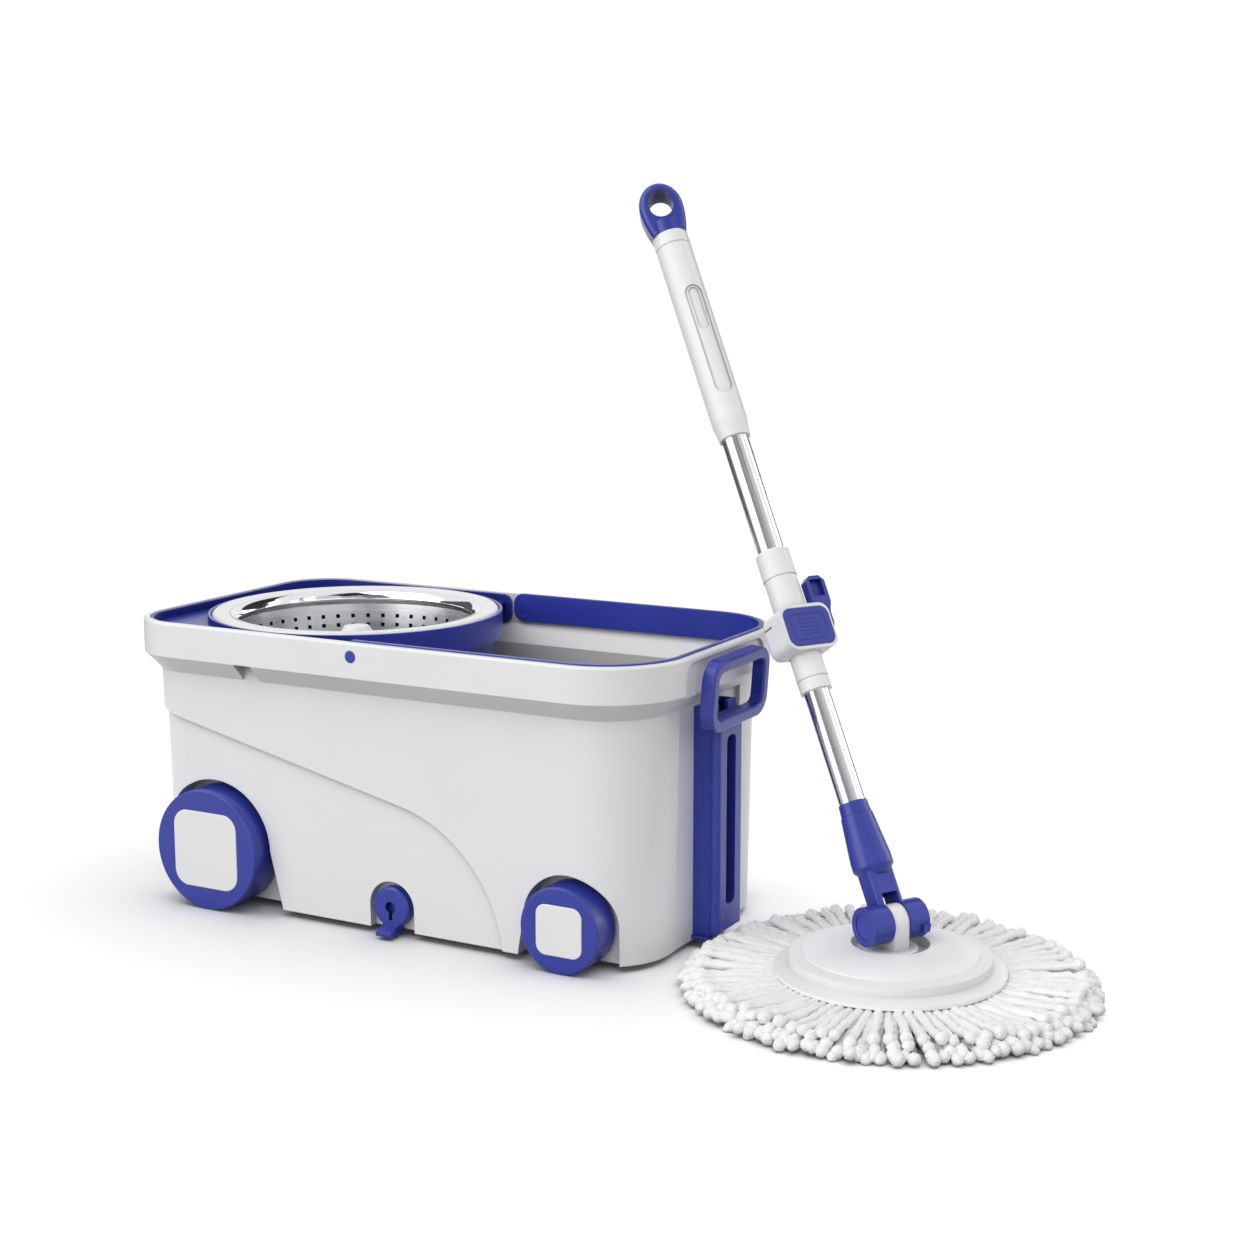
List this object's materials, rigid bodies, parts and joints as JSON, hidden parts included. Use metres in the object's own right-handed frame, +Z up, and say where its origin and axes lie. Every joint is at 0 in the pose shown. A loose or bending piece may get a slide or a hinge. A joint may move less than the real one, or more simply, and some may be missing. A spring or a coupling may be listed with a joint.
{
  "type": "spin mop set",
  "caption": "Wheeled bucket with a perforated spin basket, a carry handle and a sliding pull handle, and a round-headed mop whose leaning pole telescopes and tilts.",
  "frame": {"origin": "on the floor under the middle of the bucket", "axes": "+X from the basket end to the pull-handle end, +Y to the rear long side, +Z up"},
  "size_m": [0.7686, 0.3257, 0.5642],
  "materials": {
    "white": "satin",
    "blue": "satin",
    "grey": "satin",
    "chrome": "polished",
    "steel": "turned",
    "nylon": "matte",
    "rubber": "matte",
    "microfibre": "woven"
  },
  "bodies": {
    "bucket": {"bucket_shell": "white", "basket_carrier": "blue", "guide_rail": "blue", "rail_screws": "steel", "basket_post": "white", "basket_spindle": "steel", "thrust_washer": "nylon", "large_axles": "steel", "small_axles": "steel"},
    "basket": {"basket_drum": "chrome", "drum_pan": "chrome", "basket_ring": "grey", "basket_base": "white", "basket_bush": "nylon"},
    "bail": {"carry_handle": "blue", "handle_pins": "blue"},
    "pull": {"pull_handle": "blue"},
    "plug": {"drain_plug": "blue", "plug_seal": "rubber"},
    "large_front": {"large_wheel_front": "blue", "large_cap_front": "white"},
    "large_rear": {"large_wheel_rear": "blue", "large_cap_rear": "white"},
    "small_front": {"small_wheel_front": "blue", "small_cap_front": "white"},
    "small_rear": {"small_wheel_rear": "blue", "small_cap_rear": "white"},
    "mop_head": {"mop_plate": "white", "plate_hub": "white", "hub_screws": "steel", "mop_fringe": "microfibre"},
    "lower_pole": {"fork_socket": "blue", "hinge_pin": "steel", "barrel_cap": "blue", "lower_tube": "chrome", "drive_nut": "nylon"},
    "pole_guide": {"guide_sleeve": "white"},
    "upper_pole": {"lock_block": "white", "lever_pin": "steel", "lock_pad": "blue", "lock_collar": "white", "upper_tube": "chrome", "grip": "white", "hang_cap": "blue", "drive_rod": "steel"},
    "lever": {"lock_lever": "blue"}
  },
  "joints": [
    {"name": "large_front_spin", "type": "hinge", "parent": "bucket", "child": "large_front", "pos_m": [-0.158, -0.1095, 0.0485], "axis": [0, 1, 0], "continuous": true},
    {"name": "large_rear_spin", "type": "hinge", "parent": "bucket", "child": "large_rear", "pos_m": [-0.158, 0.1095, 0.0485], "axis": [0, 1, 0], "continuous": true},
    {"name": "small_front_spin", "type": "hinge", "parent": "bucket", "child": "small_front", "pos_m": [0.163, -0.1095, 0.0325], "axis": [0, 1, 0], "continuous": true},
    {"name": "small_rear_spin", "type": "hinge", "parent": "bucket", "child": "small_rear", "pos_m": [0.163, 0.1095, 0.0325], "axis": [0, 1, 0], "continuous": true},
    {"name": "basket_spin", "type": "hinge", "parent": "bucket", "child": "basket", "pos_m": [-0.0977, 0, 0.16], "axis": [0, 0, 1], "continuous": true},
    {"name": "bail_swing", "type": "hinge", "parent": "bucket", "child": "bail", "pos_m": [-0.012, 0, 0.2175], "axis": [0, -1, 0], "range_deg": [0, 90]},
    {"name": "pull_slide", "type": "slide", "parent": "bucket", "child": "pull", "axis": [0, 0, 1], "range_m": [0, 0.045]},
    {"name": "plug_pull", "type": "slide", "parent": "bucket", "child": "plug", "axis": [0, -1, 0], "range_m": [0, 0.025]},
    {"name": "mop_lift", "type": "slide", "parent": "bucket", "child": "mop_head", "axis": [0.8, 0, 0.6], "range_m": [0, 0.3]},
    {"name": "pole_tilt", "type": "hinge", "parent": "mop_head", "child": "lower_pole", "pos_m": [0.3826, -0.0375, 0.049], "axis": [0.509, 0.8607, 0], "range_deg": [0, 120]},
    {"name": "pole_telescope", "type": "slide", "parent": "lower_pole", "child": "pole_guide", "axis": [-0.4561, 0.2698, 0.848], "range_m": [-0.07, 0.18]},
    {"name": "drive_turn", "type": "hinge", "parent": "pole_guide", "child": "upper_pole", "pos_m": [0.3826, -0.0375, 0.049], "axis": [-0.4561, 0.2698, 0.848], "range_deg": [-253, 649]},
    {"name": "lever_open", "type": "hinge", "parent": "upper_pole", "child": "lever", "pos_m": [0.29547, 0.03854, 0.24267], "axis": [-0.73, 0.4317, -0.5299], "range_deg": [0, 75]}
  ],
  "couplings": [
    {"joint": "drive_turn", "follows": "pole_telescope", "rad_per_m": 62.832}
  ]
}
